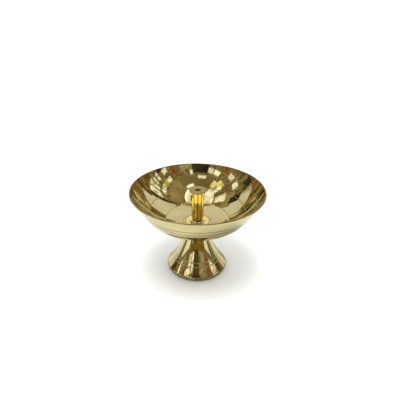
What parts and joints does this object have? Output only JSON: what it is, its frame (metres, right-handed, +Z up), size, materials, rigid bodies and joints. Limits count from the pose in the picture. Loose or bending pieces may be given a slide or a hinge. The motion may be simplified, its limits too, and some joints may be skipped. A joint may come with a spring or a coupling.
{
  "type": "footed oil lamp",
  "caption": "Footed brass oil lamp: a wide shallow bowl on a flared hollow foot, with a fluted wick holder screwed into its middle.",
  "frame": {"origin": "middle of the ring that the foot stands on", "axes": "+Z up through the wick holder; the lamp is turned about Z, and X runs along the cross-drilled oil inlets"},
  "size_m": [0.09, 0.09, 0.0608],
  "materials": {
    "polished_brass": "mirror polished",
    "fluted_brass": "bright turned, deep gold",
    "turned_brass": "satin, faced on a lathe",
    "gasket_rubber": "matte"
  },
  "bodies": {
    "lamp": {"bowl": "polished_brass", "foot": "polished_brass", "seat_disc": "polished_brass", "gasket": "gasket_rubber", "clamp_stud": "turned_brass", "clamp_washer": "turned_brass", "clamp_nut": "turned_brass"},
    "collar": {"post_collar": "polished_brass"},
    "wick_holder": {"wick_post": "fluted_brass", "wick_cap": "turned_brass"}
  },
  "joints": [
    {"name": "post_lift", "type": "slide", "parent": "lamp", "child": "collar", "axis": [0, 0, 1], "range_m": [0, 0.00421]},
    {"name": "post_turn", "type": "hinge", "parent": "collar", "child": "wick_holder", "pos_m": [0, 0, 0.045], "axis": [0, 0, 1], "range_deg": [0, 2160]}
  ],
  "couplings": [
    {"joint": "post_lift", "follows": "post_turn", "m_per_rad": 0.00011141}
  ]
}
